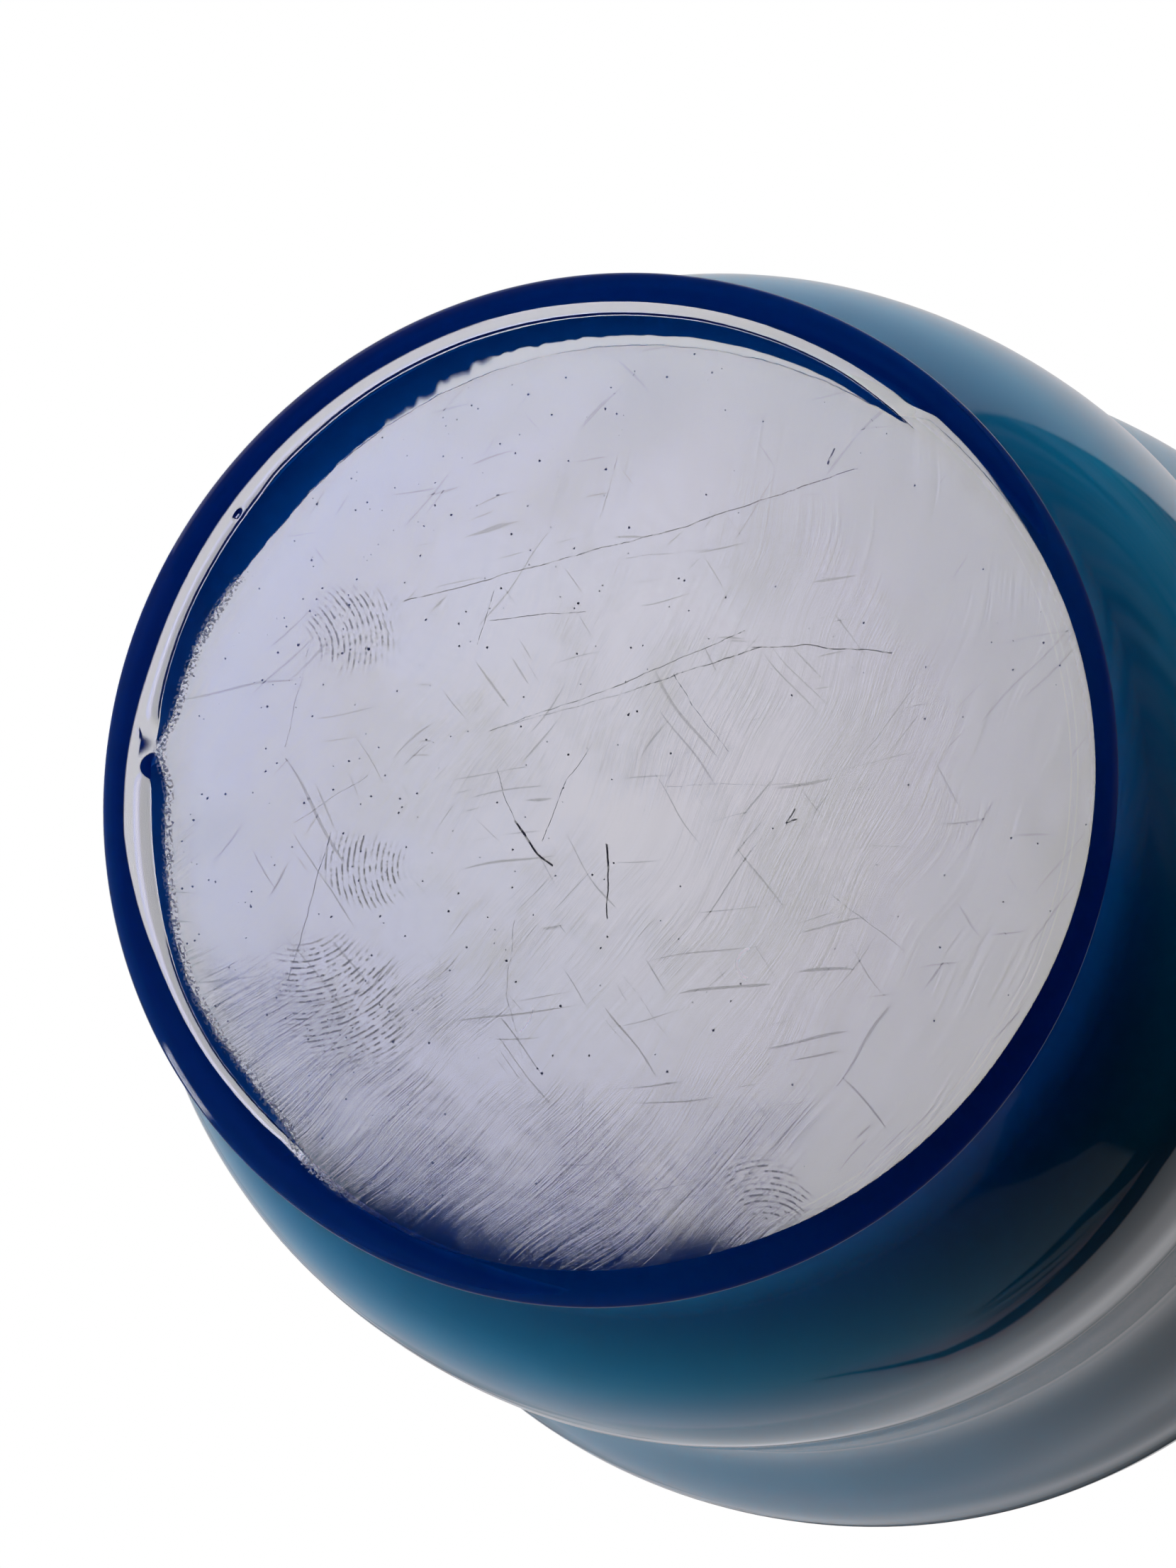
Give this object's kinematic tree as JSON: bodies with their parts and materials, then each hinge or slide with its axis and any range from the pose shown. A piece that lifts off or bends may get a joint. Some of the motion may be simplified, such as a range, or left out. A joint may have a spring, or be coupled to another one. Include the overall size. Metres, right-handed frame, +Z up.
{
  "type": "cased glass vase",
  "caption": "Free-standing cased glass vase: blue glass over an opal white lining, with stacked bulges, a narrow neck, a flared lip and a solid disc foot.",
  "frame": {"origin": "centre of the ground flat underside of the foot, on the vase's axis of revolution", "axes": "+Z up along the axis of revolution, from the foot to the mouth; +X and +Y are any two square directions, because the vase is round"},
  "size_m": [0.1068, 0.1068, 0.215],
  "materials": {
    "foot_glass": "deep cobalt-blue solid transparent glass, fire-polished round edge, ground and polished flat underside with fine scratches",
    "casing_glass": "transparent petrol-blue glass, fire-polished, glossy",
    "opal_glass": "opaque white opal glass, glossy inside"
  },
  "bodies": {
    "root": {"foot": "foot_glass", "blue_casing": "casing_glass", "opal_lining": "opal_glass"}
  },
  "joints": []
}
